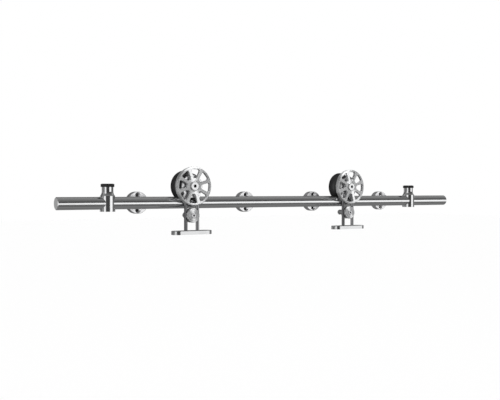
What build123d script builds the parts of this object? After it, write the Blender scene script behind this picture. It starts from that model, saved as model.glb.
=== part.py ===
from build123d import *
import math
import os

# Sliding door track: a round bar on wall standoffs, two end stops and two spoked-wheel trolleys.
# Millimetres. +X runs along the bar, +Y points into the wall, +Z is up.
# The origin is the centre of the leftmost wall flange, on its wall face.

# ---- bar and wall fixings ----
bar_radius = 12.5
bar_length = 1056.0
bar_end_chamfer = 1.0
bar_to_wall = 46.0
bar_y = -bar_to_wall
bar_left_x = -184.0
flange_from_bar_end = [184.0, 450.0, 642.0, 860.0]
flange_radius = 23.0
flange_thickness = 15.0
flange_edge_chamfer = 1.0
wall_screw_spacing = 31.5
wall_screw_hole_radius = 2.75
wall_screw_head_radius = 6.0
wall_screw_head_depth = 3.25
standoff_radius = 8.0
standoff_front_gap = 2.8
stud_radius = 3.0
stud_z = -3.2
stud_in_bar = 9.0
stud_in_flange = 8.0
thread_gap = 0.05

# ---- shared by many cuts ----
over_cut = 1.0
hole_spare = 1.0
fine_chamfer = 0.4

# ---- end stops ----
stop_from_bar_end = {"left": 104.5, "right": 927.0}
stop_base_radius = 15.0
stop_base_bottom = -16.7
stop_base_top = 14.2
stop_neck_radius = 11.3
stop_neck_bottom = 23.0
stop_neck_top = 32.0
stop_bore_gap = 0.05
bumper_radius = 13.4
bumper_height = 6.0
bumper_edge_round = 0.8
bumper_rib_height = 0.6
bumper_rib_width = 1.8
bumper_rib_margin = 2.0
bumper_rib_count = 6
bumper_screw_head_radius = 4.5
bumper_screw_head_height = 2.5
bumper_screw_radius = 2.5
bumper_screw_length = 11.0
bumper_screw_socket_size = 4.0
bumper_screw_socket_depth = 1.4
set_screw_radius = 3.0
set_screw_length = 4.0
set_screw_tip_gap = 0.1
set_screw_socket_size = 3.0
set_screw_socket_depth = 2.0

# ---- trolley wheel ----
trolley_from_bar_end = {"left": 284.0, "right": 709.0}
rolling_gap = 0.3
axle_height = 34.3
groove_radius = bar_radius + rolling_gap
roller_front_radius = 27.0
roller_rear_radius = 33.4
roller_front = -12.5
roller_rear = 14.5
roller_edge_round = 0.8
roller_recess_depth = 3.0
roller_recess_radii = (11.0, 19.0)
axle_radius = 5.0
fit_gap = 0.02
disc_radius = 40.5
disc_front = -30.1
disc_back = -21.3
disc_edge_round = 2.4
disc_back_chamfer = 0.6
disc_relief_radii = (12.0, 37.5)
disc_relief_depth = 2.8
window_count = 8
window_start_angle = 5.0
window_edge_chamfer = 0.5
window_inner_round = 5.4
window_inner_centre = 21.6
window_outer_round = 3.6
window_outer_centre = 32.4
window_outer_angle = 10.0
hub_ring_radii = (10.6, 11.4)
hub_ring_depth = 0.5
cap_radius = 9.5
cap_height = 2.6
cap_edge_round = 1.4
cap_socket_size = 6.4
cap_socket_depth = 4.6
cap_collar_radius = 4.9
cap_collar_length = 3.0
cap_shank_radius = 3.0
cap_shank_length = 14.0
axle_front = disc_front + 3.4
axle_nut_size = 16.0
axle_nut_height = 6.0
axle_washer_radius = 10.5
axle_washer_height = 1.5
axle_end_overhang = 1.5

# ---- trolley bearing (10 x 26 x 8 ball bearing) ----
bearing_outer_radius = 13.0
bearing_race_inner_radius = 10.9
bearing_hub_outer_radius = 7.1
bearing_width = 8.0
ball_radius = 2.1
ball_count = 8
shim_radius = 7.0

# ---- trolley hanger ----
leg_radius = 3.7
leg_half_spacing = 13.75
leg_plane = -16.9
head_radius = 24.0
head_half_width = 18.5
head_bottom = 10.0
head_edge_chamfer = 0.6
leg_spigot_radius = 2.5
leg_spigot_length = 12.0
foot_length = 92.0
foot_width = 28.0
foot_top = -58.5
foot_thickness = 8.0
foot_edge_chamfer = 0.5
foot_hole_spacing = 64.0
foot_hole_radius = 3.25
foot_head_radius = 6.2
leg_screw_radius = 2.5
leg_screw_length = 22.0
leg_screw_head_radius = 4.6
leg_screw_head_depth = 2.4
leg_screw_socket_size = 3.0
leg_screw_socket_depth = 1.8

# ---- anti-jump clamp ----
clamp_height = -27.0
clamp_radius = 14.8
clamp_front_thickness = 5.3
clamp_rear_thickness = 4.0
clamp_leg_gap = 0.3
clamp_edge_chamfer = 0.8
clamp_step_radius = 11.0
clamp_step_height = 0.8
clamp_guide_radius = leg_half_spacing - leg_radius - clamp_leg_gap
clamp_guide_end = -13.8
clamp_bolt_radius = 3.0
clamp_bolt_head_radius = 5.0
clamp_bolt_head_height = 1.4
clamp_bolt_socket_size = 4.0
clamp_bolt_socket_depth = 3.0
clamp_sleeve_radius = 5.4
clamp_sleeve_end = 7.6
clamp_nut_size = 12.0
clamp_nut_hex_length = 4.0
clamp_nut_dome_radius = 5.9


def rod(radius, start, end):
    """A cylinder of the given radius from one point to another."""
    run = Vector(*end) - Vector(*start)
    plane = Plane(origin=start, z_dir=run)
    return plane * Cylinder(radius, run.length, align=(Align.CENTER, Align.CENTER, Align.MIN))


def rod_y(radius, x, z, y_from, y_to):
    """A cylinder along Y."""
    return rod(radius, (x, y_from, z), (x, y_to, z))


def rod_z(radius, x, y, z_from, z_to):
    """A cylinder along Z."""
    return rod(radius, (x, y, z_from), (x, y, z_to))


def ring_y(outer, inner, x, z, y_from, y_to):
    """A flat ring or bush whose axis is along Y."""
    return rod_y(outer, x, z, y_from, y_to) - rod_y(inner, x, z, y_from - over_cut, y_to + over_cut)


def cone_y(radius_from, radius_to, x, z, y_from, y_to):
    """A countersink or taper along Y."""
    plane = Plane(origin=(x, y_from, z), z_dir=(0, y_to - y_from, 0))
    height = abs(y_to - y_from)
    return plane * Cone(radius_from, radius_to, height, align=(Align.CENTER, Align.CENTER, Align.MIN))


def cone_z(radius_from, radius_to, x, y, z_from, z_to):
    """A countersink or taper along Z."""
    plane = Plane(origin=(x, y, z_from), z_dir=(0, 0, z_to - z_from))
    height = abs(z_to - z_from)
    return plane * Cone(radius_from, radius_to, height, align=(Align.CENTER, Align.CENTER, Align.MIN))


def hexagon_z(across_flats, x, y, z_from, z_to):
    """A hexagonal prism along Z."""
    plane = Plane(origin=(x, y, z_from), z_dir=(0, 0, z_to - z_from))
    outline = RegularPolygon(across_flats / 2, 6, major_radius=False)
    return extrude(plane * outline, abs(z_to - z_from))


def hexagon_y(across_flats, x, z, y_from, y_to):
    """A hexagonal prism along Y."""
    plane = Plane(origin=(x, y_from, z), x_dir=(1, 0, 0), z_dir=(0, y_to - y_from, 0))
    outline = RegularPolygon(across_flats / 2, 6, major_radius=False)
    return extrude(plane * outline, abs(y_to - y_from))


def rim_edges(part, radius, tolerance=0.02):
    """The circular edges of a part that have one radius."""
    circles = part.edges().filter_by(GeomType.CIRCLE)
    return [edge for edge in circles if abs(edge.radius - radius) < tolerance]


def save(name, part):
    """Write one node."""
    part.label = name
    export_step(part, f"parts/{name}.step")


def flange_x(index):
    return bar_left_x + flange_from_bar_end[index]


# ---- track ----

def track_bar():
    """Solid bar with a blind tapped hole behind each flange."""
    left = (bar_left_x, bar_y, 0)
    right = (bar_left_x + bar_length, bar_y, 0)
    bar = rod(bar_radius, left, right)
    bar = chamfer(rim_edges(bar, bar_radius), bar_end_chamfer)
    hole_floor = bar_y + bar_radius - stud_in_bar
    for index in range(len(flange_from_bar_end)):
        mouth = bar_y + bar_radius + over_cut
        bar -= rod_y(stud_radius + thread_gap, flange_x(index), stud_z, hole_floor, mouth)
    return bar


def wall_flange(x):
    """Round wall plate with a tapped hole for the stud and two countersunk screw holes in a vertical line."""
    front = -flange_thickness
    plate = rod_y(flange_radius, x, 0, front, 0)
    plate = chamfer(rim_edges(plate, flange_radius), flange_edge_chamfer)
    plate -= rod_y(stud_radius + thread_gap, x, stud_z, front - over_cut, front + stud_in_flange)
    for side in (-1, 1):
        z = side * wall_screw_spacing / 2
        plate -= rod_y(wall_screw_hole_radius, x, z, front - over_cut, over_cut)
        sink_floor = front + wall_screw_head_depth
        plate -= cone_y(wall_screw_head_radius, wall_screw_hole_radius, x, z, front, sink_floor)
    return plate


def standoff(x):
    """Spacer between flange and bar. Its front end stops short, so that a passing roller clears it."""
    front = bar_y + bar_radius + standoff_front_gap
    tube = rod_y(standoff_radius, x, 0, front, -flange_thickness)
    return tube - rod_y(stud_radius + thread_gap, x, stud_z, front - over_cut, -flange_thickness + over_cut)


def standoff_stud(x):
    """Threaded stud from flange to bar, through the spacer. It sits low, clear of a passing roller."""
    start = bar_y + bar_radius - stud_in_bar + hole_spare
    return rod_y(stud_radius, x, stud_z, start, -flange_thickness + stud_in_flange - hole_spare)


# ---- end stops ----

def stop_body(x):
    """Turned stop: round base bored for the bar, concave flare, neck for the bumper."""
    flare_height = stop_neck_bottom - stop_base_top
    with BuildSketch(Plane.XZ) as outline:
        with BuildLine():
            bottom = Line((0, stop_base_bottom), (stop_base_radius, stop_base_bottom))
            wall = Line(bottom @ 1, (stop_base_radius, stop_base_top))
            flare = Spline(
                wall @ 1,
                (stop_neck_radius, stop_neck_bottom),
                tangents=((-1, 0.35), (0, 1)),
                tangent_scalars=(0.6, flare_height / 10),
            )
            neck = Line(flare @ 1, (stop_neck_radius, stop_neck_top))
            top = Line(neck @ 1, (0, stop_neck_top))
            Line(top @ 1, (0, stop_base_bottom))
        make_face()
    body = Pos(x, bar_y, 0) * revolve(outline.sketch, Axis.Z)
    reach = stop_base_radius + over_cut
    body -= rod(bar_radius + stop_bore_gap, (x - reach, bar_y, 0), (x + reach, bar_y, 0))
    body -= rod_z(set_screw_radius + fit_gap, x, bar_y, stop_base_bottom - over_cut, 0)
    hole_floor = stop_neck_top - bumper_screw_length
    body -= rod_z(bumper_screw_radius + fit_gap, x, bar_y, hole_floor, stop_neck_top + over_cut)
    return body


def stop_bumper(x):
    """Rubber cap with low radial ribs on its top and a recess for its screw."""
    top = stop_neck_top + bumper_height
    cap = rod_z(bumper_radius, x, bar_y, stop_neck_top, top)
    cap = fillet(rim_edges(cap, bumper_radius), bumper_edge_round)
    for turn in range(bumper_rib_count):
        rib = Box(2 * (bumper_radius - bumper_rib_margin), bumper_rib_width, 2 * bumper_rib_height)
        cap += Pos(x, bar_y, top) * Rot(0, 0, turn * 180 / bumper_rib_count) * rib
    above = top + over_cut
    cap -= rod_z(bumper_screw_radius + fit_gap, x, bar_y, stop_neck_top - over_cut, above)
    cap -= rod_z(bumper_screw_head_radius + fit_gap, x, bar_y, top - bumper_screw_head_height, above)
    return cap


def bumper_screw(x):
    """Screw that holds the bumper on the neck."""
    top = stop_neck_top + bumper_height
    seat = top - bumper_screw_head_height
    head = rod_z(bumper_screw_head_radius, x, bar_y, seat, top)
    tip = stop_neck_top - bumper_screw_length + hole_spare
    shank = rod_z(bumper_screw_radius, x, bar_y, tip, seat)
    return head + shank - hexagon_z(bumper_screw_socket_size, x, bar_y, top, top - bumper_screw_socket_depth)


def set_screw(x):
    """Grub screw that clamps the stop to the bar from below."""
    tip = -bar_radius - set_screw_tip_gap
    end = tip - set_screw_length
    screw = rod_z(set_screw_radius, x, bar_y, end, tip)
    return screw - hexagon_z(set_screw_socket_size, x, bar_y, end, end + set_screw_socket_depth)


# ---- trolley wheel; depths are measured from the bar's axis ----

def spoked_disc(x):
    """Face wheel with a rounded rim, eight windows between straight spokes, and a back turned thinner."""
    front = bar_y + disc_front
    back = bar_y + disc_back
    disc = rod_y(disc_radius, x, axle_height, front, back)
    middle = (front + back) / 2
    front_rim = [edge for edge in rim_edges(disc, disc_radius) if edge.center().Y < middle]
    disc = fillet(front_rim, disc_edge_round)
    back_rim = [edge for edge in rim_edges(disc, disc_radius) if edge.center().Y > middle]
    disc = chamfer(back_rim, disc_back_chamfer)
    inner = Pos(window_inner_centre, 0) * Circle(window_inner_round)
    outer = Pos(window_outer_centre, 0) * Circle(window_outer_round)
    corners = [inner, Rot(0, 0, window_outer_angle) * outer, Rot(0, 0, -window_outer_angle) * outer]
    window = make_hull([edge for corner in corners for edge in corner.edges()])
    face = Plane(origin=(x, front, axle_height), x_dir=(1, 0, 0), z_dir=(0, 1, 0))
    for turn in range(window_count):
        angle = window_start_angle + turn * 360 / window_count
        outline = face * (Rot(0, 0, angle) * window)
        disc -= extrude(outline, back - front)
    relief_inner, relief_outer = disc_relief_radii
    disc -= ring_y(relief_outer, relief_inner, x, axle_height, back - disc_relief_depth, back + over_cut)
    disc -= rod_y(axle_radius + fit_gap, x, axle_height, front - over_cut, back + over_cut)
    front_edges = disc.faces().sort_by(Axis.Y)[0].inner_wires()
    disc = chamfer([e for w in front_edges for e in w.edges()], window_edge_chamfer)
    ring = ring_y(hub_ring_radii[1], hub_ring_radii[0], x, axle_height, front, front + hub_ring_depth)
    return disc - ring


def hub_cap(x):
    """Button-head screw that closes the front end of the axle."""
    seat = bar_y + disc_front
    head = rod_y(cap_radius, x, axle_height, seat - cap_height, seat)
    top = seat - cap_height
    front_rim = [edge for edge in rim_edges(head, cap_radius) if edge.center().Y < seat - fine_chamfer]
    head = fillet(front_rim, cap_edge_round)
    collar = rod_y(cap_collar_radius, x, axle_height, seat, seat + cap_collar_length)
    shank = rod_y(cap_shank_radius, x, axle_height, seat, seat + cap_shank_length)
    return head + collar + shank - hexagon_y(cap_socket_size, x, axle_height, top, top + cap_socket_depth)


def axle(x):
    """Axle that turns with the disc and the roller, tapped at the front for the hub cap."""
    front = bar_y + axle_front
    rear = bar_y + roller_rear + axle_washer_height + axle_nut_height + axle_end_overhang
    shaft = rod_y(axle_radius, x, axle_height, front, rear)
    thread_end = bar_y + disc_front + cap_shank_length + hole_spare
    return shaft - rod_y(cap_shank_radius + fit_gap, x, axle_height, front - over_cut, thread_end)


def roller(x):
    """Black nylon roller, grooved to sit over the bar, with a deeper flange on the wall side."""
    front = bar_y + roller_front
    rear = bar_y + roller_rear
    body = rod_y(roller_front_radius, x, axle_height, front, bar_y)
    body += rod_y(roller_rear_radius, x, axle_height, bar_y, rear)
    rear_rim = [edge for edge in rim_edges(body, roller_rear_radius) if edge.center().Y > rear - fine_chamfer]
    body = fillet(rear_rim, roller_edge_round)
    groove = Plane(origin=(x, bar_y, axle_height), z_dir=(0, 1, 0)) * Torus(axle_height, groove_radius)
    body -= groove
    recess_inner, recess_outer = roller_recess_radii
    body -= ring_y(recess_outer, recess_inner, x, axle_height, rear - roller_recess_depth, rear)
    return body - rod_y(axle_radius + fit_gap, x, axle_height, front - over_cut, rear + over_cut)


def axle_washer(x):
    """Washer behind the roller."""
    start = bar_y + roller_rear
    inner = axle_radius + fit_gap
    return ring_y(axle_washer_radius, inner, x, axle_height, start, start + axle_washer_height)


def axle_nut(x):
    """Lock nut on the wall end of the axle."""
    start = bar_y + roller_rear + axle_washer_height
    nut = hexagon_y(axle_nut_size, x, axle_height, start, start + axle_nut_height)
    end = start + axle_nut_height
    return nut - rod_y(axle_radius + fit_gap, x, axle_height, start - over_cut, end + over_cut)


# ---- trolley bearing ----

def bearing_span():
    """Y of the bearing's two faces, which are the hanger head's too."""
    middle = bar_y + leg_plane
    return middle - bearing_width / 2, middle + bearing_width / 2


def bearing_outer_ring(x):
    """Outer race, pressed into the hanger head."""
    front, back = bearing_span()
    ring = ring_y(bearing_outer_radius, bearing_race_inner_radius, x, axle_height, front, back)
    return ring - ball_track(x)


def bearing_inner_ring(x):
    """Inner race, on the axle."""
    front, back = bearing_span()
    ring = ring_y(bearing_hub_outer_radius, axle_radius + fit_gap, x, axle_height, front, back)
    return ring - ball_track(x)


def ball_track(x):
    """The groove that both races give the balls, with running clearance."""
    pitch_radius = (bearing_race_inner_radius + bearing_hub_outer_radius) / 2
    plane = Plane(origin=(x, bar_y + leg_plane, axle_height), z_dir=(0, 1, 0))
    return plane * Torus(pitch_radius, ball_radius + rolling_gap)


def bearing_balls(x):
    """Balls of the bearing."""
    pitch_radius = (bearing_race_inner_radius + bearing_hub_outer_radius) / 2
    balls = []
    for turn in range(ball_count):
        angle = 2 * math.pi * turn / ball_count
        dx = pitch_radius * math.cos(angle)
        dz = pitch_radius * math.sin(angle)
        balls.append(Pos(x + dx, bar_y + leg_plane, axle_height + dz) * Sphere(ball_radius))
    return Compound(children=balls)


def shim_washers(x):
    """Shims that clamp the inner race between the disc and the roller."""
    front, back = bearing_span()
    inner = axle_radius + fit_gap
    near_disc = ring_y(shim_radius, inner, x, axle_height, bar_y + disc_back, front)
    near_roller = ring_y(shim_radius, inner, x, axle_height, back, bar_y + roller_front)
    return Compound(children=[near_disc, near_roller])


# ---- trolley hanger ----

def hanger_head(x):
    """Round head plate with a square lower half, bored for the bearing and tapped for the legs."""
    front, back = bearing_span()
    head = rod_y(head_radius, x, axle_height, front, back)
    lower_height = axle_height - head_bottom
    lower = Box(2 * head_half_width, back - front, lower_height, align=(Align.CENTER, Align.MIN, Align.MIN))
    head += Pos(x, front, head_bottom) * lower
    head = chamfer(head.faces().sort_by(Axis.Y)[0].edges(), head_edge_chamfer)
    head -= rod_y(bearing_outer_radius + fit_gap, x, axle_height, front - over_cut, back + over_cut)
    for side in (-1, 1):
        leg_x = x + side * leg_half_spacing
        hole_top = head_bottom + leg_spigot_length + hole_spare
        head -= rod_z(leg_spigot_radius + fit_gap, leg_x, bar_y + leg_plane, head_bottom - over_cut, hole_top)
    return head


def hanger_leg(x, side):
    """Round leg with a threaded spigot at the top and a tapped lower end."""
    leg_x = x + side * leg_half_spacing
    leg_y = bar_y + leg_plane
    leg = rod_z(leg_radius, leg_x, leg_y, foot_top, head_bottom)
    leg += rod_z(leg_spigot_radius, leg_x, leg_y, head_bottom, head_bottom + leg_spigot_length)
    tapped_top = foot_top - foot_thickness + leg_screw_length + hole_spare
    return leg - rod_z(leg_screw_radius + fit_gap, leg_x, leg_y, foot_top - over_cut, tapped_top)


def foot_plate(x):
    """Flat plate with round ends that the door hangs from."""
    outline = Pos(x, bar_y + leg_plane) * SlotOverall(foot_length, foot_width)
    bottom = foot_top - foot_thickness
    leg_y = bar_y + leg_plane
    plate = Pos(0, 0, bottom) * extrude(outline, foot_thickness)
    plate = chamfer(plate.faces().sort_by(Axis.Z)[-1].edges(), foot_edge_chamfer)
    sink = foot_head_radius - foot_hole_radius
    for side in (-1, 1):
        hole_x = x + side * foot_hole_spacing / 2
        plate -= rod_z(foot_hole_radius, hole_x, leg_y, bottom - over_cut, foot_top + over_cut)
        plate -= cone_z(foot_hole_radius, foot_head_radius, hole_x, leg_y, foot_top - sink, foot_top)
        leg_x = x + side * leg_half_spacing
        plate -= rod_z(leg_screw_radius + fit_gap, leg_x, leg_y, bottom - over_cut, foot_top + over_cut)
        plate -= leg_screw_head(leg_x, fit_gap)
    return plate


def leg_screw_head(leg_x, growth):
    """Countersunk head, grown by a fit gap when it is used as the hole."""
    bottom = foot_top - foot_thickness
    wide = leg_screw_head_radius + growth
    narrow = leg_screw_radius + growth
    return cone_z(wide, narrow, leg_x, bar_y + leg_plane, bottom, bottom + leg_screw_head_depth)


def leg_screws(x):
    """Two countersunk screws, up through the foot plate into the legs."""
    bottom = foot_top - foot_thickness
    screws = []
    for side in (-1, 1):
        leg_x = x + side * leg_half_spacing
        shank = rod_z(leg_screw_radius, leg_x, bar_y + leg_plane, bottom, bottom + leg_screw_length)
        socket_end = bottom + leg_screw_socket_depth
        socket = hexagon_z(leg_screw_socket_size, leg_x, bar_y + leg_plane, bottom, socket_end)
        screws.append(shank + leg_screw_head(leg_x, 0) - socket)
    return Compound(children=screws)


# ---- anti-jump clamp ----

def clamp_faces():
    """Y of the two faces that clamp the legs, front then rear."""
    reach = leg_radius + clamp_leg_gap
    return bar_y + leg_plane - reach, bar_y + leg_plane + reach


def clamp_front_disc(x):
    """Front clamp disc with a raised step and a round guide between the legs."""
    back, _ = clamp_faces()
    front = back - clamp_front_thickness
    disc = rod_y(clamp_radius, x, clamp_height, front + clamp_step_height, back)
    front_rim = [edge for edge in rim_edges(disc, clamp_radius) if edge.center().Y < back - fine_chamfer]
    disc = chamfer(front_rim, clamp_edge_chamfer)
    step = rod_y(clamp_step_radius, x, clamp_height, front, front + clamp_step_height)
    step_rim = [edge for edge in rim_edges(step, clamp_step_radius) if edge.center().Y < front + fine_chamfer]
    step = chamfer(step_rim, fine_chamfer)
    guide = rod_y(clamp_guide_radius, x, clamp_height, back, bar_y + clamp_guide_end)
    return disc + step + guide - rod_y(clamp_bolt_radius + fit_gap, x, clamp_height, front - over_cut, bar_y)


def clamp_rear_disc(x):
    """Rear clamp disc, behind the legs."""
    _, front = clamp_faces()
    back = front + clamp_rear_thickness
    disc = rod_y(clamp_radius, x, clamp_height, front, back)
    disc = chamfer(rim_edges(disc, clamp_radius), clamp_edge_chamfer)
    return disc - rod_y(clamp_bolt_radius + fit_gap, x, clamp_height, front - over_cut, back + over_cut)


def clamp_bolt(x):
    """Low-head socket bolt through both discs and the sleeve."""
    back, _ = clamp_faces()
    seat = back - clamp_front_thickness
    top = seat - clamp_bolt_head_height
    head = rod_y(clamp_bolt_head_radius, x, clamp_height, top, seat)
    rims = rim_edges(head, clamp_bolt_head_radius)
    head = chamfer([edge for edge in rims if edge.center().Y < seat - fine_chamfer], fine_chamfer)
    shank = rod_y(clamp_bolt_radius, x, clamp_height, seat, bar_y + clamp_sleeve_end + clamp_nut_hex_length)
    socket = hexagon_y(clamp_bolt_socket_size, x, clamp_height, top, top + clamp_bolt_socket_depth)
    return head + shank - socket


def clamp_sleeve(x):
    """Sleeve under the bar. It keeps the roller from lifting off."""
    _, front = clamp_faces()
    start = front + clamp_rear_thickness
    inner = clamp_bolt_radius + fit_gap
    return ring_y(clamp_sleeve_radius, inner, x, clamp_height, start, bar_y + clamp_sleeve_end)


def clamp_nut(x):
    """Domed cap nut on the wall end of the clamp bolt."""
    start = bar_y + clamp_sleeve_end
    hex_end = start + clamp_nut_hex_length
    nut = hexagon_y(clamp_nut_size, x, clamp_height, start, hex_end)
    dome = Pos(x, hex_end, clamp_height) * Sphere(clamp_nut_dome_radius)
    keep_size = 2 * clamp_nut_size
    keep = Box(keep_size, keep_size, keep_size, align=(Align.CENTER, Align.MIN, Align.CENTER))
    nut += dome & (Pos(x, hex_end, clamp_height) * keep)
    return nut - rod_y(clamp_bolt_radius + fit_gap, x, clamp_height, start - over_cut, hex_end + fit_gap)


# ---- write the nodes ----

os.makedirs("parts", exist_ok=True)

save("track_bar", track_bar())
for index in range(len(flange_from_bar_end)):
    save(f"wall_flange_{index + 1}", wall_flange(flange_x(index)))
    save(f"standoff_{index + 1}", standoff(flange_x(index)))
studs = [standoff_stud(flange_x(index)) for index in range(len(flange_from_bar_end))]
save("standoff_studs", Compound(children=studs))

for side, distance in stop_from_bar_end.items():
    x = bar_left_x + distance
    save(f"{side}_stop_body", stop_body(x))
    save(f"{side}_stop_bumper", stop_bumper(x))
    save(f"{side}_stop_bumper_screw", bumper_screw(x))
    save(f"{side}_stop_set_screw", set_screw(x))

for side, distance in trolley_from_bar_end.items():
    x = bar_left_x + distance
    save(f"{side}_spoked_disc", spoked_disc(x))
    save(f"{side}_hub_cap", hub_cap(x))
    save(f"{side}_axle", axle(x))
    save(f"{side}_roller", roller(x))
    save(f"{side}_axle_washer", axle_washer(x))
    save(f"{side}_axle_nut", axle_nut(x))
    save(f"{side}_bearing_outer_ring", bearing_outer_ring(x))
    save(f"{side}_bearing_inner_ring", bearing_inner_ring(x))
    save(f"{side}_bearing_balls", bearing_balls(x))
    save(f"{side}_shim_washers", shim_washers(x))
    save(f"{side}_hanger_head", hanger_head(x))
    save(f"{side}_hanger_leg_left", hanger_leg(x, -1))
    save(f"{side}_hanger_leg_right", hanger_leg(x, 1))
    save(f"{side}_foot_plate", foot_plate(x))
    save(f"{side}_leg_screws", leg_screws(x))
    save(f"{side}_clamp_front_disc", clamp_front_disc(x))
    save(f"{side}_clamp_rear_disc", clamp_rear_disc(x))
    save(f"{side}_clamp_bolt", clamp_bolt(x))
    save(f"{side}_clamp_sleeve", clamp_sleeve(x))
    save(f"{side}_clamp_nut", clamp_nut(x))
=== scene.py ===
"""Looks of a sliding door track: brushed and turned stainless steel, black nylon rollers, rubber bumpers."""

import math

import bpy
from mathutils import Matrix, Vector


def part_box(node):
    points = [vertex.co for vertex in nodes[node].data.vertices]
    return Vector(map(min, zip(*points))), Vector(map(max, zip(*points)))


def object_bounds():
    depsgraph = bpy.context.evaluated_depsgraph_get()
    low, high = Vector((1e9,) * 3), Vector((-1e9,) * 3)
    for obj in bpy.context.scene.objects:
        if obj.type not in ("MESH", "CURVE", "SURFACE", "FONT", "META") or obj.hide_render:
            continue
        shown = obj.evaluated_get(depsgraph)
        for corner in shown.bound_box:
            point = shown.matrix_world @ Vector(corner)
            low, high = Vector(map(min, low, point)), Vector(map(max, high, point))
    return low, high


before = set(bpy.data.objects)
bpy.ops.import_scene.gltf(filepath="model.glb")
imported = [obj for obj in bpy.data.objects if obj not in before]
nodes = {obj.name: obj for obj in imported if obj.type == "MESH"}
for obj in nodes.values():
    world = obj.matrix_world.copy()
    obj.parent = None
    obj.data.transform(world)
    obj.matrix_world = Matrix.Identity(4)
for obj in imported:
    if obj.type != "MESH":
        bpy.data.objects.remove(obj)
cad_low, cad_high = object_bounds()
object_middle = (cad_low + cad_high) / 2

# ---- camera: yaw from square on to the wall, its distances in metres and its lens in millimetres ----
CAMERA_YAW = math.radians(33.0)
CAMERA_PITCH = math.radians(0.67)
CAMERA_LENS = 53.8
BAR_END_ACROSS = 0.3695
BAR_END_AHEAD = 1.4214
CAMERA_ABOVE_BAR = 0.0236

# ---- the studio that metal mirrors: angle round the bar in degrees, and a linear grey ----
# The angle is 0 towards the viewer, 90 overhead, 180 at the wall and -90 below.
ROOM_TONES = (
    (-180.0, 0.1),
    (-150.0, 0.12),
    (-130.0, 0.24),
    (-98.0, 0.17),
    (-74.0, 0.25),
    (-52.0, 0.13),
    (-34.0, 0.17),
    (-20.0, 0.06),
    (22.0, 0.06),
    (38.0, 0.12),
    (57.0, 0.17),
    (78.0, 0.23),
    (110.0, 0.3),
    (150.0, 0.12),
    (180.0, 0.1),
)
# Soft boxes in it: azimuth and elevation, each from and to, and soft edge, all in degrees, then brightness.
WORLD_BOXES = (
    ((16.0, 58.0), (-20.0, 7.0), 3.5, 1.15),
    ((-78.0, -47.0), (-32.0, 32.0), 4.0, 1.0),
    ((-112.0, -86.0), (-30.0, 30.0), 5.0, 0.2),
    ((70.0, 108.0), (-25.0, 30.0), 5.0, 0.14),
    ((-172.0, -138.0), (-12.0, 12.0), 4.0, 0.3),
)
FULL_TURN = 360.0
HALF_TURN = 180.0
DEGREES = HALF_TURN / math.pi
WHITE = (1.0, 1.0, 1.0, 1.0)

# ---- area lights: offset from the object's middle and size in metres, power in watts ----
OVERHEAD_OFFSET = (0.0, -0.8, 3.0)
OVERHEAD_SIZE = 4.0
OVERHEAD_POWER = 2.0
DISC_LIGHT_OFFSET = (1.3, -2.5, 2.6)
DISC_LIGHT_SIZE = (2.6, 2.2)
DISC_LIGHT_POWER = 85.0

# ---- floor: its depth below the object and its side in metres, and its grey ----
FLOOR_DROP = 0.75
FLOOR_SIZE = 40.0
FLOOR_TONE = (0.99, 0.99, 0.99, 1.0)

# ---- steel: a darker and a lighter tone for each finish ----
SILVER = ((0.84, 0.84, 0.85), (0.92, 0.92, 0.93))
BRIGHT = ((0.74, 0.745, 0.75), (0.81, 0.815, 0.82))
MIDDLING = ((0.64, 0.645, 0.65), (0.72, 0.725, 0.73))
DULL = ((0.5, 0.5, 0.51), (0.6, 0.6, 0.61))
DARK = ((0.38, 0.38, 0.39), (0.46, 0.46, 0.47))
# painted shade: these tones are a darker copy of the leg steel, standing for the shade the disc casts on the
# left legs
LEG_PAINTED_SHADE = ((0.2, 0.2, 0.205), (0.27, 0.27, 0.275))
# painted shade: black laid inside bores and sockets, where shade falls
RECESS_PAINTED_SHADE = (0.02, 0.02, 0.02)
POLISHED = (0.9, 0.9, 0.91)

# ---- steel: scales of its grain and clouds per metre, and its relief as bump strength and metres ----
LENGTHWISE = (14.0, 2400.0, 2400.0)
VERTICAL = (1500.0, 1500.0, 20.0)
EVEN = (3600.0, 3600.0, 3600.0)
RING_SCALE = 5200.0
CLOUD_SCALE = (9.0, 9.0, 9.0)
FINE_CLOUD_SCALE = (60.0, 60.0, 60.0)
SMUDGE_SCALE = (30.0, 30.0, 30.0)
SMUDGE_DULLNESS = 0.06
CLEAR = (0.1, 0.00001)
FAINT = (0.05, 0.000005)

# ---- noises: detail and roughness ----
GRAIN_NOISE = (6.0, 0.7)
RING_NOISE = (3.0, 0.6)
CLOUD_NOISE = (3.0, 0.5)
SMUDGE_NOISE = (2.0, 0.5)
WEAR_NOISE = (3.0, 0.6)
PEBBLE_NOISE = (4.0, 0.7)

# ---- the part of a noise's range that carries a change ----
GRAIN_RANGE = (0.3, 0.7)
SMUDGE_RANGE = (0.5, 0.75)
WEAR_RANGE = (0.35, 0.65)

# ---- turned faces: roughness from and to, and how far their gloss spreads along the radius ----
FLANGE_GLOSS = ((0.22, 0.3), 0.6)
DISC_GLOSS = ((0.42, 0.48), 0.9)
QUARTER_TURN = 0.25

# ---- nylon and rubber: pebble and uneven shine per metre, and the pebble's height in metres ----
PEBBLE_SCALE = 2600.0
SHINE_SCALE = 160.0
PEBBLE_HEIGHT = 0.00005

# ---- edge wear: reach from an edge in metres, patches per metre, and the grey of rubbed polymer ----
EDGE_SAMPLES = 6
EDGE_AGREEMENT = (0.8, 0.985)
STEEL_EDGE = (0.0004, 400.0)
POLYMER_EDGE = (0.0008, 300.0)
LEAST_WEAR = 0.25
SCUFFED = (0.06, 0.06, 0.062)

# ---- recesses painted black as shade, in metres: flange bores, and the hub cap's and clamp bolt's sockets ----
BORE_OFFSET = 0.01575
BORE_RADIUS = 0.0029
HUB_SOCKET = 0.0033
GRIP_SOCKET = 0.0021
RECESS_BLUR = 0.02

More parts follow.
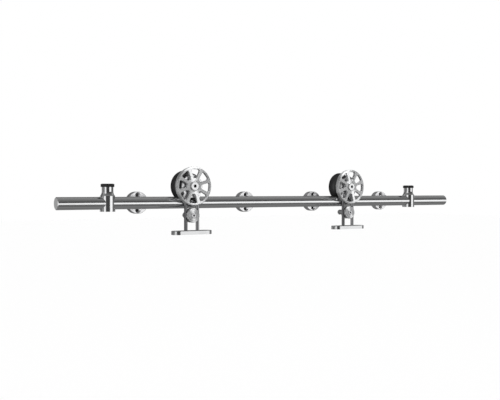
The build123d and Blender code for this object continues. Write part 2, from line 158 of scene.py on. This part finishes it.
# ---- straight-grained finishes: grain, tones, roughness from and to, and relief ----
SATIN = (0.2, 0.28)
BRUSHED_FINISHES = {
    "bar_steel": (LENGTHWISE, BRIGHT, (0.1, 0.18), CLEAR),
    "satin_steel": (EVEN, BRIGHT, SATIN, FAINT),
    "head_steel": (VERTICAL, SILVER, (0.2, 0.3), CLEAR),
    "foot_steel": (LENGTHWISE, MIDDLING, (0.16, 0.26), CLEAR),
    "leg_steel": (VERTICAL, DARK, (0.05, 0.1), FAINT),
    # painted shade: the left legs' steel, a darker copy of leg_steel
    "painted_shade_leg_steel": (VERTICAL, LEG_PAINTED_SHADE, (0.05, 0.1), FAINT),
    "stop_steel": (VERTICAL, BRIGHT, (0.08, 0.14), FAINT),
    "plain_steel": (EVEN, DULL, (0.25, 0.35), FAINT),
    "bearing_steel": (EVEN, MIDDLING, (0.06, 0.12), FAINT),
}

# ---- polymers: a darker and a lighter tone, roughness from and to, and bump strength ----
POLYMER_FINISHES = {
    "black_nylon": ((0.02, 0.02, 0.021), (0.034, 0.034, 0.035), (0.32, 0.46), 0.2),
    "black_rubber": ((0.01, 0.01, 0.01), (0.02, 0.02, 0.02), (0.55, 0.75), 0.5),
}

SIDES = ("left", "right")
FLANGES = [f"wall_flange_{number}" for number in range(1, 5)]
STANDOFFS = [f"standoff_{number}" for number in range(1, 5)]


def both(*pieces):
    """Names of some pieces on the left and on the right."""
    return [f"{side}_{piece}" for side in SIDES for piece in pieces]


# ---- which CAD nodes take which of those finishes ----
PIECES = {
    "bar_steel": ["track_bar"],
    "satin_steel": STANDOFFS + both("clamp_nut", "clamp_sleeve"),
    "head_steel": both("hanger_head"),
    "foot_steel": both("foot_plate"),
    "leg_steel": both("hanger_leg_right"),
    # the left legs take the darker painted-shade copy of the leg steel
    "painted_shade_leg_steel": both("hanger_leg_left"),
    "stop_steel": both("stop_body"),
    "plain_steel": ["standoff_studs"]
    + both("stop_bumper_screw", "stop_set_screw", "leg_screws")
    + both("axle", "axle_washer", "axle_nut", "shim_washers"),
    "bearing_steel": both("bearing_outer_ring", "bearing_inner_ring", "bearing_balls"),
    "black_nylon": both("roller"),
    "black_rubber": both("stop_bumper"),
}
TURNED_FACES = FLANGES + both("spoked_disc", "clamp_front_disc")


# ---- nodes ----

def new_material(name):
    """An empty material and its node tree."""
    material = bpy.data.materials.new(name)
    material.use_nodes = True
    tree = material.node_tree
    tree.nodes.clear()
    return material, tree


def add(tree, kind, **settings):
    """One node, with its properties set."""
    node = tree.nodes.new(kind)
    for key, value in settings.items():
        setattr(node, key, value)
    return node


def maths(tree, operation, first, second=None):
    """A maths node's value. Each input is a socket or a number."""
    node = add(tree, "ShaderNodeMath", operation=operation)
    for slot, value in enumerate((first, second)):
        if value is None:
            continue
        if isinstance(value, (int, float)):
            node.inputs[slot].default_value = value
        else:
            tree.links.new(value, node.inputs[slot])
    return node.outputs[0]


def vector_maths(tree, operation, vector, fixed=None):
    """A vector maths node on a socket and, where it needs one, a fixed vector."""
    node = add(tree, "ShaderNodeVectorMath", operation=operation)
    tree.links.new(vector, node.inputs[0])
    if fixed is not None:
        node.inputs[1].default_value = fixed
    return node.outputs


def map_range(tree, value, from_low, from_high, to_low, to_high, smooth=True):
    """A socket's value moved from one range to another, and kept inside it."""
    node = add(tree, "ShaderNodeMapRange", clamp=True)
    if smooth:
        node.interpolation_type = "SMOOTHSTEP"
    tree.links.new(value, node.inputs["Value"])
    node.inputs["From Min"].default_value = from_low
    node.inputs["From Max"].default_value = from_high
    node.inputs["To Min"].default_value = to_low
    node.inputs["To Max"].default_value = to_high
    return node.outputs["Result"]


def smooth_band(tree, value, low, high, soft):
    """1 between low and high, falling smoothly to 0 over soft on each side of both."""
    rise = map_range(tree, value, low - soft, low + soft, 0.0, 1.0)
    fall = map_range(tree, value, high - soft, high + soft, 1.0, 0.0)
    return maths(tree, "MULTIPLY", rise, fall)


def object_position(tree):
    """Position on the object, which moves with its body."""
    return add(tree, "ShaderNodeTexCoord").outputs["Object"]


def noise(tree, vector, scale, character):
    """A noise texture's value, from its detail and roughness."""
    node = add(tree, "ShaderNodeTexNoise")
    node.inputs["Scale"].default_value = scale
    node.inputs["Detail"].default_value, node.inputs["Roughness"].default_value = character
    tree.links.new(vector, node.inputs["Vector"])
    return node.outputs["Fac"]


def stretched_noise(tree, scale, character):
    """Noise on the object's position, with its own scale on each axis."""
    mapping = add(tree, "ShaderNodeMapping")
    mapping.inputs["Scale"].default_value = scale
    tree.links.new(object_position(tree), mapping.inputs["Vector"])
    return noise(tree, mapping.outputs["Vector"], 1.0, character)


def tint(tree, factor, dark, light):
    """A colour between two greys, led by a value."""
    mix = add(tree, "ShaderNodeMix", data_type="RGBA")
    tree.links.new(factor, mix.inputs["Factor"])
    mix.inputs["A"].default_value = (*dark, 1.0)
    mix.inputs["B"].default_value = (*light, 1.0)
    return mix.outputs["Result"]


def blend(tree, factor, colour, other):
    """A colour socket mixed towards a fixed colour by a mask."""
    mix = add(tree, "ShaderNodeMix", data_type="RGBA")
    tree.links.new(factor, mix.inputs["Factor"])
    tree.links.new(colour, mix.inputs["A"])
    mix.inputs["B"].default_value = (*other, 1.0)
    return mix.outputs["Result"]


def recess_painted_shade_mask(tree, recesses):
    """1 inside round recesses that run along Y, each a centre and a radius, and 0 outside: the mask of their
    painted shade.
    """
    total = None
    for middle, radius in recesses:
        offset = vector_maths(tree, "SUBTRACT", object_position(tree), middle)["Vector"]
        flat = vector_maths(tree, "MULTIPLY", offset, (1.0, 0.0, 1.0))["Vector"]
        distance = vector_maths(tree, "LENGTH", flat)["Value"]
        inner, outer = radius * (1.0 - RECESS_BLUR), radius * (1.0 + RECESS_BLUR)
        inside = map_range(tree, distance, inner, outer, 1.0, 0.0)
        total = inside if total is None else maths(tree, "MAXIMUM", total, inside)
    return total


def worn_edges(tree, reach, patches):
    """1 on sharp edges and 0 on open faces. Noise breaks it up, so wear comes and goes along an edge."""
    rounded = add(tree, "ShaderNodeBevel", samples=EDGE_SAMPLES)
    rounded.inputs["Radius"].default_value = reach
    flat = add(tree, "ShaderNodeNewGeometry")
    agreement = add(tree, "ShaderNodeVectorMath", operation="DOT_PRODUCT")
    tree.links.new(rounded.outputs["Normal"], agreement.inputs[0])
    tree.links.new(flat.outputs["Normal"], agreement.inputs[1])
    edge = map_range(tree, agreement.outputs["Value"], *EDGE_AGREEMENT, 1.0, 0.0)
    patchy = stretched_noise(tree, (patches, patches, patches), WEAR_NOISE)
    return maths(tree, "MULTIPLY", edge, map_range(tree, patchy, *WEAR_RANGE, LEAST_WEAR, 1.0))


def finish_surface(tree, shader, height, strength, distance):
    """Give a shader its relief and join it to the material's output."""
    bump = add(tree, "ShaderNodeBump")
    bump.inputs["Strength"].default_value = strength
    bump.inputs["Distance"].default_value = distance
    tree.links.new(height, bump.inputs["Height"])
    tree.links.new(bump.outputs["Normal"], shader.inputs["Normal"])
    output = add(tree, "ShaderNodeOutputMaterial")
    tree.links.new(shader.outputs["BSDF"], output.inputs["Surface"])


# ---- steel and polymer ----

def steel(tree, grain, cloud, tones, roughness, relief, recesses):
    """Principled metal whose colour, roughness and relief follow its grain. Its recesses are painted black
    as shade.
    """
    shader = add(tree, "ShaderNodeBsdfPrincipled")
    shader.inputs["Metallic"].default_value = 1.0
    colour = blend(tree, worn_edges(tree, *STEEL_EDGE), tint(tree, cloud, *tones), POLISHED)
    # Painted shade: the recesses are coloured black.
    if recesses:
        colour = blend(tree, recess_painted_shade_mask(tree, recesses), colour, RECESS_PAINTED_SHADE)
    tree.links.new(colour, shader.inputs["Base Color"])
    # Handling marks: broad soft patches where the polish is a little duller.
    smudge = stretched_noise(tree, SMUDGE_SCALE, SMUDGE_NOISE)
    polish = map_range(tree, grain, *GRAIN_RANGE, *roughness)
    dull = map_range(tree, smudge, *SMUDGE_RANGE, 0.0, SMUDGE_DULLNESS)
    tree.links.new(maths(tree, "ADD", polish, dull), shader.inputs["Roughness"])
    finish_surface(tree, shader, grain, *relief)
    return shader


def brushed_steel(name, stretch, tones, roughness, relief, recesses=()):
    """Steel with straight grain: noise stretched so that its streaks run along one axis."""
    material, tree = new_material(name)
    grain = stretched_noise(tree, stretch, GRAIN_NOISE)
    cloud = stretched_noise(tree, CLOUD_SCALE, CLOUD_NOISE)
    steel(tree, grain, cloud, tones, roughness, relief, recesses)
    return material


def turned_steel(name, middle, tones, gloss, recesses=()):
    """Steel faced on a lathe: fine rings about a centre, in the plane of the wall."""
    material, tree = new_material(name)
    roughness, spread = gloss
    split = add(tree, "ShaderNodeSeparateXYZ")
    offset = vector_maths(tree, "SUBTRACT", object_position(tree), middle)["Vector"]
    tree.links.new(offset, split.inputs["Vector"])
    across = maths(tree, "POWER", split.outputs["X"], 2.0)
    up = maths(tree, "POWER", split.outputs["Z"], 2.0)
    line = add(tree, "ShaderNodeCombineXYZ")
    tree.links.new(maths(tree, "SQRT", maths(tree, "ADD", across, up)), line.inputs["X"])
    grain = noise(tree, line.outputs["Vector"], RING_SCALE, RING_NOISE)
    cloud = stretched_noise(tree, FINE_CLOUD_SCALE, CLOUD_NOISE)
    shader = steel(tree, grain, cloud, tones, roughness, CLEAR, recesses)
    shader.inputs["Anisotropic"].default_value = spread
    shader.inputs["Anisotropic Rotation"].default_value = QUARTER_TURN
    tangent = add(tree, "ShaderNodeTangent", direction_type="RADIAL", axis="Y")
    tree.links.new(tangent.outputs["Tangent"], shader.inputs["Tangent"])
    return material


def black_polymer(name, dark, light, roughness, strength):
    """Moulded nylon or rubber, with a fine pebble, slightly uneven shine and scuffed edges."""
    material, tree = new_material(name)
    pebble = stretched_noise(tree, (PEBBLE_SCALE, PEBBLE_SCALE, PEBBLE_SCALE), PEBBLE_NOISE)
    broad = stretched_noise(tree, (SHINE_SCALE, SHINE_SCALE, SHINE_SCALE), CLOUD_NOISE)
    shader = add(tree, "ShaderNodeBsdfPrincipled")
    colour = blend(tree, worn_edges(tree, *POLYMER_EDGE), tint(tree, broad, dark, light), SCUFFED)
    tree.links.new(colour, shader.inputs["Base Color"])
    tree.links.new(map_range(tree, broad, *GRAIN_RANGE, *roughness), shader.inputs["Roughness"])
    finish_surface(tree, shader, pebble, strength, PEBBLE_HEIGHT)
    return material


def give(names, material):
    """Put one material on every slot of some CAD nodes."""
    for name in names:
        for slot in nodes[name].material_slots:
            slot.material = material


def box_middle(name):
    """Middle of a node's box at rest."""
    low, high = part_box(name)
    return (low + high) / 2


def finish_pieces():
    """Give every CAD node its material."""
    for name, finish in BRUSHED_FINISHES.items():
        give(PIECES[name], brushed_steel(name, *finish))
    for name, finish in POLYMER_FINISHES.items():
        give(PIECES[name], black_polymer(name, *finish))

    for flange in FLANGES:
        middle = box_middle(flange)
        # painted shade: each flange's two screw bores are coloured black
        bores = [(middle + Vector((0.0, 0.0, way * BORE_OFFSET)), BORE_RADIUS) for way in (-1, 1)]
        give([flange], turned_steel(f"{flange}_steel", middle, SILVER, FLANGE_GLOSS, bores))

    for side in SIDES:
        hub = box_middle(f"{side}_hub_cap")
        grip = box_middle(f"{side}_clamp_bolt")
        disc_steel = turned_steel(f"{side}_disc_steel", hub, BRIGHT, DISC_GLOSS)
        clamp_steel = turned_steel(f"{side}_clamp_steel", grip, MIDDLING, DISC_GLOSS)
        # painted shade: the hub cap's and clamp bolt's sockets are coloured black
        hub_steel = brushed_steel(f"{side}_hub_steel", EVEN, BRIGHT, SATIN, FAINT, [(hub, HUB_SOCKET)])
        grip_steel = brushed_steel(f"{side}_grip_steel", EVEN, DULL, SATIN, FAINT, [(grip, GRIP_SOCKET)])
        give([f"{side}_spoked_disc"], disc_steel)
        give([f"{side}_clamp_front_disc", f"{side}_clamp_rear_disc"], clamp_steel)
        give([f"{side}_hub_cap"], hub_steel)
        give([f"{side}_clamp_bolt"], grip_steel)


# ---- stage, light and camera ----

def pale_floor():
    """A wide pale floor, well below the wall-mounted object."""
    place = (object_middle.x, cad_low.y, cad_low.z - FLOOR_DROP)
    bpy.ops.mesh.primitive_plane_add(size=FLOOR_SIZE, location=place)
    floor = bpy.context.object
    floor.name = "floor"
    material, tree = new_material("pale_floor")
    shader = add(tree, "ShaderNodeBsdfDiffuse")
    shader.inputs["Color"].default_value = FLOOR_TONE
    output = add(tree, "ShaderNodeOutputMaterial")
    tree.links.new(shader.outputs["BSDF"], output.inputs["Surface"])
    floor.data.materials.append(material)
    floor.visible_glossy = False
    floor.visible_diffuse = False


def room_tone(tree, turn):
    """Grey of the studio by its angle round the bar."""
    ramp = add(tree, "ShaderNodeValToRGB")
    place = map_range(tree, turn, -HALF_TURN, HALF_TURN, 0.0, 1.0, smooth=False)
    tree.links.new(place, ramp.inputs["Fac"])
    stops = ramp.color_ramp.elements
    while len(stops) < len(ROOM_TONES):
        stops.new(0.5)
    for stop, (angle, tone) in zip(stops, ROOM_TONES):
        stop.position = (angle + HALF_TURN) / FULL_TURN
        stop.color = (tone, tone, tone, 1.0)
    return ramp.outputs["Color"]


def in_degrees(tree, operation, *inputs):
    """An inverse trigonometric function of sockets, in degrees."""
    return maths(tree, "MULTIPLY", maths(tree, operation, *inputs), DEGREES)


def studio_world():
    """White to the camera. Metal reflects a grey room with soft boxes on both sides and behind."""
    world = bpy.data.worlds.new("studio")
    bpy.context.scene.world = world
    world.use_nodes = True
    tree = world.node_tree
    tree.nodes.clear()
    direction = add(tree, "ShaderNodeTexCoord")
    split = add(tree, "ShaderNodeSeparateXYZ")
    tree.links.new(direction.outputs["Generated"], split.inputs["Vector"])
    across, depth, up = split.outputs
    # Azimuth is 0 towards the viewer's side of the wall and grows towards +X.
    outward = maths(tree, "MULTIPLY", depth, -1.0)
    azimuth = in_degrees(tree, "ARCTAN2", across, outward)
    elevation = in_degrees(tree, "ARCSINE", up)
    total = room_tone(tree, in_degrees(tree, "ARCTAN2", up, outward))
    for sideways, height, soft, brightness in WORLD_BOXES:
        width = smooth_band(tree, azimuth, *sideways, soft)
        box = maths(tree, "MULTIPLY", width, smooth_band(tree, elevation, *height, soft))
        total = maths(tree, "ADD", total, maths(tree, "MULTIPLY", box, brightness))
    seen = add(tree, "ShaderNodeLightPath")
    strength = add(tree, "ShaderNodeMix", data_type="FLOAT")
    tree.links.new(seen.outputs["Is Glossy Ray"], strength.inputs["Factor"])
    strength.inputs["A"].default_value = 1.0
    tree.links.new(total, strength.inputs["B"])
    background = add(tree, "ShaderNodeBackground")
    background.inputs["Color"].default_value = WHITE
    tree.links.new(strength.outputs["Result"], background.inputs["Strength"])
    output = add(tree, "ShaderNodeOutputWorld")
    tree.links.new(background.outputs["Background"], output.inputs["Surface"])


def area_light(name, offset, power, **shape):
    """An area light at an offset from the object's middle, aimed at it."""
    data = bpy.data.lights.new(name, "AREA")
    data.energy = power
    for key, value in shape.items():
        setattr(data, key, value)
    light = bpy.data.objects.new(name, data)
    bpy.context.scene.collection.objects.link(light)
    light.location = object_middle + Vector(offset)
    light.rotation_euler = (object_middle - light.location).to_track_quat("-Z", "Y").to_euler()
    return light


def overhead_light():
    """A weak soft light from above that metal doesn't mirror."""
    light = area_light("overhead", OVERHEAD_OFFSET, OVERHEAD_POWER, shape="DISK", size=OVERHEAD_SIZE)
    light.visible_glossy = False


def disc_light():
    """Large overhead soft box that only the turned faces mirror, as a flag keeps it off the bar."""
    width, depth = DISC_LIGHT_SIZE
    shape = {"shape": "RECTANGLE", "size": width, "size_y": depth}
    light = area_light("disc_light", DISC_LIGHT_OFFSET, DISC_LIGHT_POWER, **shape)
    group = bpy.data.collections.new("turned_faces")
    for face in TURNED_FACES:
        group.objects.link(nodes[face])
    light.light_linking.receiver_collection = group


def add_camera():
    """Camera to the left of square on, a little above the bar."""
    bar_low, bar_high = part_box("track_bar")
    bar_axis = (bar_low + bar_high) / 2
    bar_end = Vector((bar_low.x, bar_axis.y, bar_axis.z))
    ahead = Vector((math.sin(CAMERA_YAW), math.cos(CAMERA_YAW), 0.0))
    right = Vector((math.cos(CAMERA_YAW), -math.sin(CAMERA_YAW), 0.0))
    data = bpy.data.cameras.new("camera")
    data.lens = CAMERA_LENS
    camera = bpy.data.objects.new("camera", data)
    bpy.context.scene.collection.objects.link(camera)
    camera.location = bar_end + right * BAR_END_ACROSS - ahead * BAR_END_AHEAD
    camera.location.z = bar_axis.z + CAMERA_ABOVE_BAR
    camera.rotation_euler = (math.pi / 2 - CAMERA_PITCH, 0.0, -CAMERA_YAW)
    bpy.context.scene.camera = camera


finish_pieces()
pale_floor()
studio_world()
overhead_light()
disc_light()
add_camera()
bpy.context.scene.view_settings.view_transform = "Standard"
